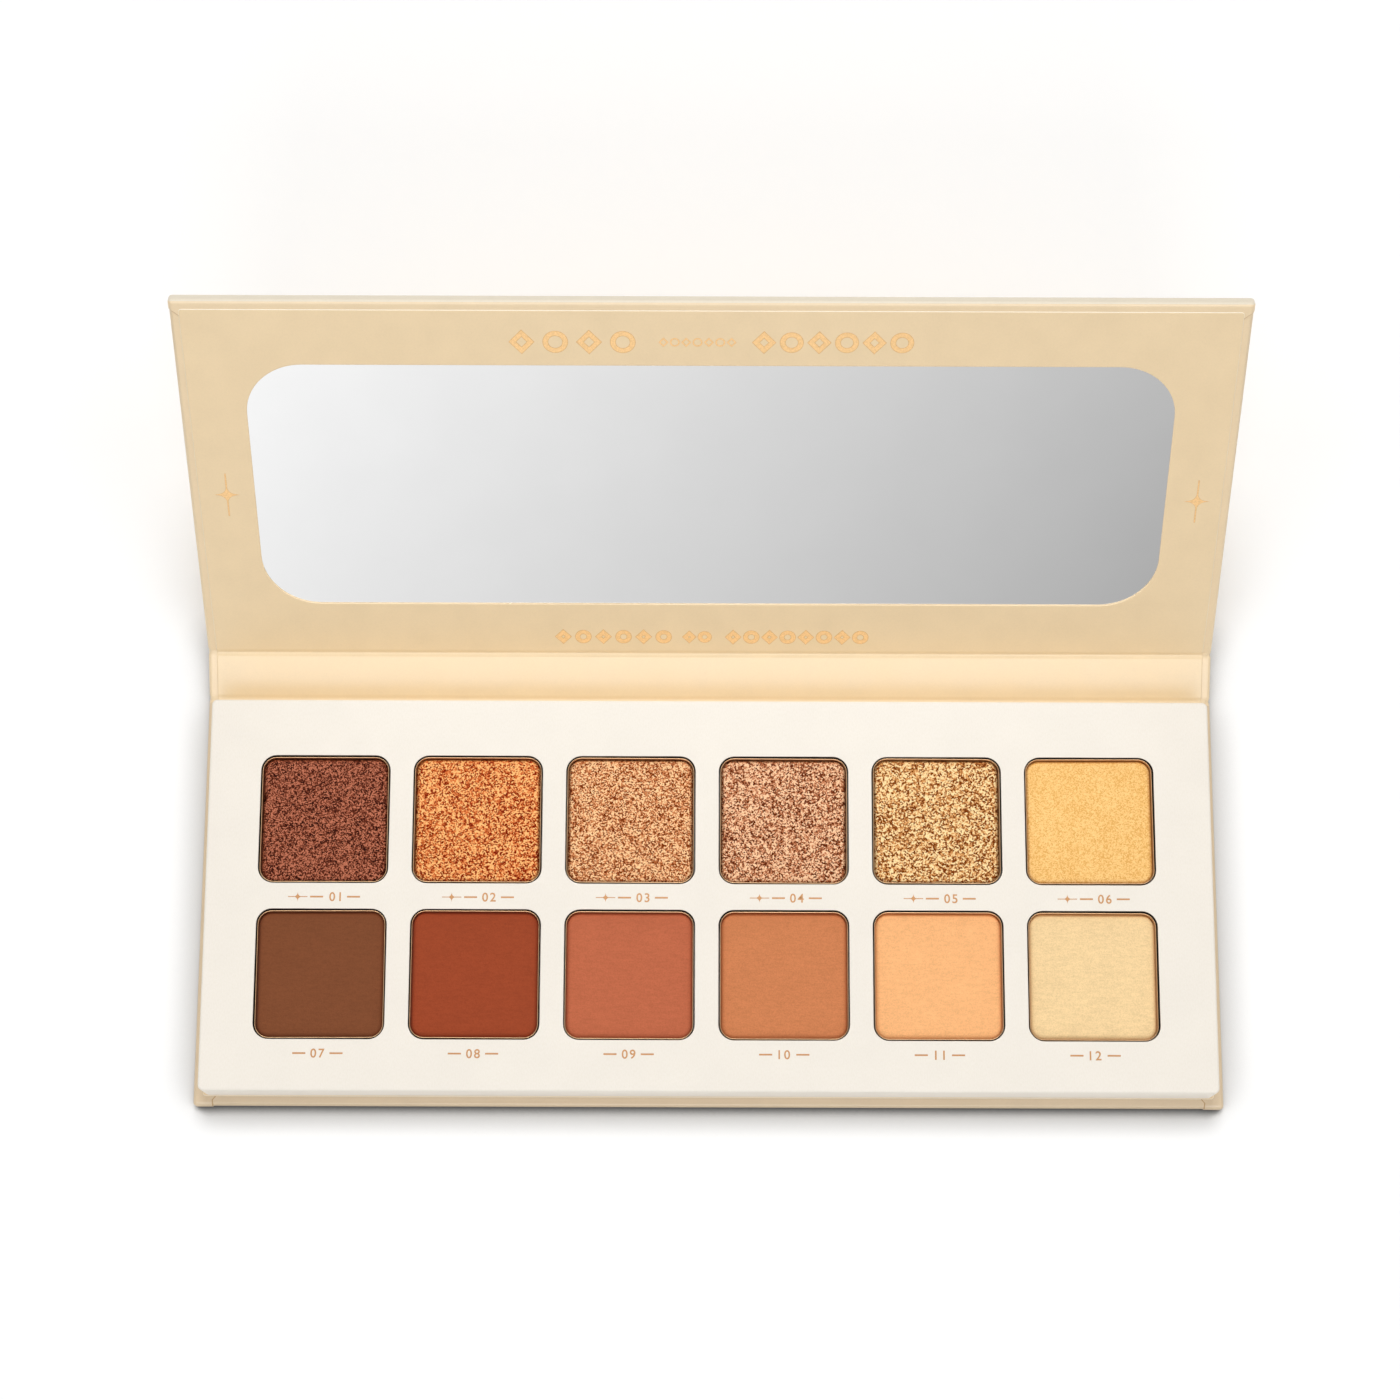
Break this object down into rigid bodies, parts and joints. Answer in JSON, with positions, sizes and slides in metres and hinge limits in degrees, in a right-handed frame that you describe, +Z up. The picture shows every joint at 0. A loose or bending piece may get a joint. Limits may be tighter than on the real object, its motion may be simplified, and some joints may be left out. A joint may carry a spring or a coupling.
{
  "type": "eyeshadow palette",
  "caption": "Case-bound cardboard eyeshadow palette, standing open: tray of square powder pans on a base panel, folding spine panel and a lid panel with a built-in mirror.",
  "frame": {"origin": "centre of the flat underside of the base panel", "axes": "+X to the user's right, along the palette; +Y from the front edge towards the spine; +Z up"},
  "size_m": [0.19, 0.1355, 0.0654],
  "materials": {
    "printed_wrap": "laminated print, satin",
    "printed_liner": "laminated print, satin",
    "tray_paper": "coated paper, soft matte",
    "greyboard": "raw grey board, matte",
    "adhesive_tape": "adhesive tape, matte",
    "pan_metal": "stamped, satin",
    "catch_metal": "plated, satin",
    "mirror_glass": "polished",
    "powder_01_burgundy_shimmer": "pressed powder with metallic flakes, sparkling",
    "powder_02_copper_shimmer": "pressed powder with metallic flakes, sparkling",
    "powder_03_rose_gold_shimmer": "pressed powder with metallic flakes, sparkling",
    "powder_04_mauve_shimmer": "pressed powder with metallic flakes, sparkling",
    "powder_05_gold_shimmer": "pressed powder with metallic flakes, sparkling",
    "powder_06_butter_satin": "pressed powder, satin",
    "powder_07_cocoa_matte": "pressed powder, matte",
    "powder_08_brick_matte": "pressed powder, matte",
    "powder_09_terracotta_matte": "pressed powder, matte",
    "powder_10_tan_matte": "pressed powder, matte",
    "powder_11_peach_matte": "pressed powder, matte",
    "powder_12_cream_matte": "pressed powder, matte"
  },
  "bodies": {
    "base": {"base_wrap": "printed_wrap", "base_board": "greyboard", "base_liner": "printed_liner", "lower_crease_wrap": "printed_wrap", "lower_crease_liner": "printed_liner", "tray_skin": "tray_paper", "tray_plate": "greyboard", "tray_wall_front": "greyboard", "tray_wall_back": "greyboard", "tray_wall_left": "greyboard", "tray_wall_right": "greyboard", "pan_bed": "greyboard", "bed_rib_front": "greyboard", "bed_rib_middle": "greyboard", "bed_rib_back": "greyboard", "pan_tape": "adhesive_tape", "tray_magnet_left": "catch_metal", "tray_magnet_right": "catch_metal", "pan_01": "pan_metal", "pan_02": "pan_metal", "pan_03": "pan_metal", "pan_04": "pan_metal", "pan_05": "pan_metal", "pan_06": "pan_metal", "pan_07": "pan_metal", "pan_08": "pan_metal", "pan_09": "pan_metal", "pan_10": "pan_metal", "pan_11": "pan_metal", "pan_12": "pan_metal", "powder_01_burgundy_shimmer": "powder_01_burgundy_shimmer", "powder_02_copper_shimmer": "powder_02_copper_shimmer", "powder_03_rose_gold_shimmer": "powder_03_rose_gold_shimmer", "powder_04_mauve_shimmer": "powder_04_mauve_shimmer", "powder_05_gold_shimmer": "powder_05_gold_shimmer", "powder_06_butter_satin": "powder_06_butter_satin", "powder_07_cocoa_matte": "powder_07_cocoa_matte", "powder_08_brick_matte": "powder_08_brick_matte", "powder_09_terracotta_matte": "powder_09_terracotta_matte", "powder_10_tan_matte": "powder_10_tan_matte", "powder_11_peach_matte": "powder_11_peach_matte", "powder_12_cream_matte": "powder_12_cream_matte"},
    "spine": {"spine_wrap": "printed_wrap", "spine_board": "greyboard", "spine_liner": "printed_liner", "upper_crease_wrap": "printed_wrap", "upper_crease_liner": "printed_liner"},
    "lid": {"lid_wrap": "printed_wrap", "lid_outer_board": "greyboard", "lid_inner_board": "greyboard", "lid_liner": "printed_liner", "mirror": "mirror_glass", "mirror_tape": "adhesive_tape", "lid_striker_left": "catch_metal", "lid_striker_right": "catch_metal"}
  },
  "joints": [
    {"name": "spine_fold", "type": "hinge", "parent": "base", "child": "spine", "pos_m": [0, 0.0385, 0.0024], "axis": [1, 0, 0], "range_deg": [-22.4, 67.6], "deforming": ["lower_crease_wrap", "lower_crease_liner"]},
    {"name": "lid_fold", "type": "hinge", "parent": "spine", "child": "lid", "pos_m": [0, 0.04664, 0.00575], "axis": [1, 0, 0], "range_deg": [-28.6, 61.4], "deforming": ["upper_crease_wrap", "upper_crease_liner"]}
  ]
}
